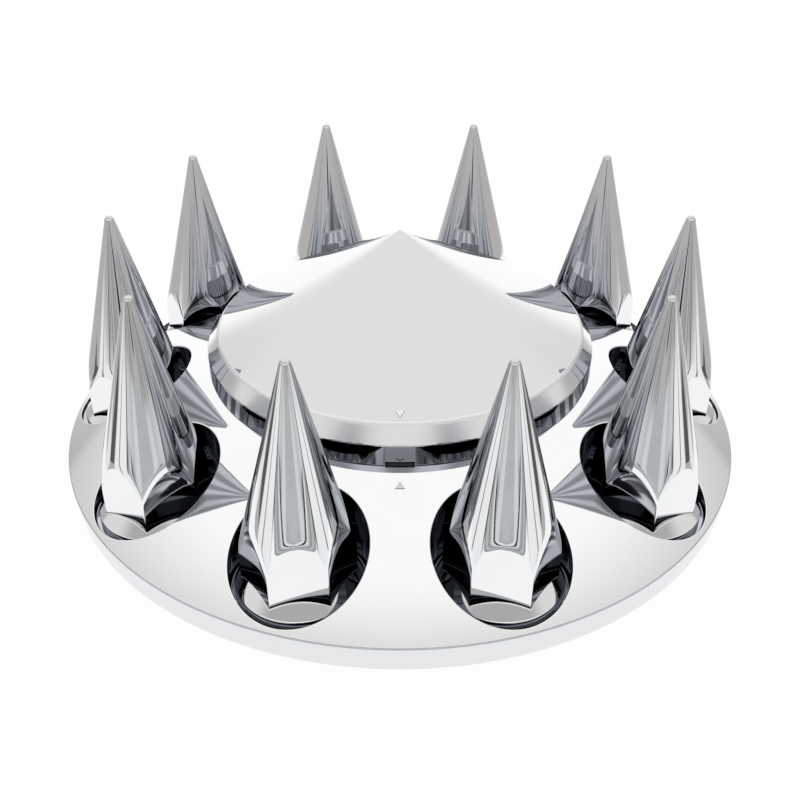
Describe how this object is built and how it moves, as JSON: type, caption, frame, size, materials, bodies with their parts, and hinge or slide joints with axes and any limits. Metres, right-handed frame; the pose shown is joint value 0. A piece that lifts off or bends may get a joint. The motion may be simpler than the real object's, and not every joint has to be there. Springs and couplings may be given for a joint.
{
  "type": "truck front axle cover",
  "caption": "Domed chrome cover for a truck's front wheel hub, with a low pointed hub cap in the middle and a ring of tall spike nut covers in round pockets.",
  "frame": {"origin": "on the wheel's axle, in the plane of the cover's rim edge, which lies against the wheel", "axes": "+Z along the axle away from the truck, -Y towards the arrow marks, +X to the right seen from the front"},
  "size_m": [0.353, 0.353, 0.1278],
  "materials": {
    "chrome_plate": "bright decorative chrome plating on moulded ABS"
  },
  "bodies": {
    "cover_body": {"axle_cover": "chrome_plate"},
    "hub_cap_body": {"hub_cap": "chrome_plate"},
    "nut_cover_01_body": {"nut_cover_01": "chrome_plate"},
    "nut_cover_02_body": {"nut_cover_02": "chrome_plate"},
    "nut_cover_03_body": {"nut_cover_03": "chrome_plate"},
    "nut_cover_04_body": {"nut_cover_04": "chrome_plate"},
    "nut_cover_05_body": {"nut_cover_05": "chrome_plate"},
    "nut_cover_06_body": {"nut_cover_06": "chrome_plate"},
    "nut_cover_07_body": {"nut_cover_07": "chrome_plate"},
    "nut_cover_08_body": {"nut_cover_08": "chrome_plate"},
    "nut_cover_09_body": {"nut_cover_09": "chrome_plate"},
    "nut_cover_10_body": {"nut_cover_10": "chrome_plate"}
  },
  "joints": [
    {"name": "hub_cap_lift", "type": "slide", "parent": "cover_body", "child": "hub_cap_body", "axis": [0, 0, 1], "range_m": [0, 0.09]},
    {"name": "nut_cover_01_turn", "type": "hinge", "parent": "cover_body", "child": "nut_cover_01_body", "pos_m": [0.14288, 0, 0.0123], "axis": [0, 0, 1], "continuous": true},
    {"name": "nut_cover_02_turn", "type": "hinge", "parent": "cover_body", "child": "nut_cover_02_body", "pos_m": [0.11559, 0.08398, 0.0123], "axis": [0, 0, 1], "continuous": true},
    {"name": "nut_cover_03_turn", "type": "hinge", "parent": "cover_body", "child": "nut_cover_03_body", "pos_m": [0.04415, 0.13588, 0.0123], "axis": [0, 0, 1], "continuous": true},
    {"name": "nut_cover_04_turn", "type": "hinge", "parent": "cover_body", "child": "nut_cover_04_body", "pos_m": [-0.04415, 0.13588, 0.0123], "axis": [0, 0, 1], "continuous": true},
    {"name": "nut_cover_05_turn", "type": "hinge", "parent": "cover_body", "child": "nut_cover_05_body", "pos_m": [-0.11559, 0.08398, 0.0123], "axis": [0, 0, 1], "continuous": true},
    {"name": "nut_cover_06_turn", "type": "hinge", "parent": "cover_body", "child": "nut_cover_06_body", "pos_m": [-0.14288, 0, 0.0123], "axis": [0, 0, 1], "continuous": true},
    {"name": "nut_cover_07_turn", "type": "hinge", "parent": "cover_body", "child": "nut_cover_07_body", "pos_m": [-0.11559, -0.08398, 0.0123], "axis": [0, 0, 1], "continuous": true},
    {"name": "nut_cover_08_turn", "type": "hinge", "parent": "cover_body", "child": "nut_cover_08_body", "pos_m": [-0.04415, -0.13588, 0.0123], "axis": [0, 0, 1], "continuous": true},
    {"name": "nut_cover_09_turn", "type": "hinge", "parent": "cover_body", "child": "nut_cover_09_body", "pos_m": [0.04415, -0.13588, 0.0123], "axis": [0, 0, 1], "continuous": true},
    {"name": "nut_cover_10_turn", "type": "hinge", "parent": "cover_body", "child": "nut_cover_10_body", "pos_m": [0.11559, -0.08398, 0.0123], "axis": [0, 0, 1], "continuous": true}
  ]
}
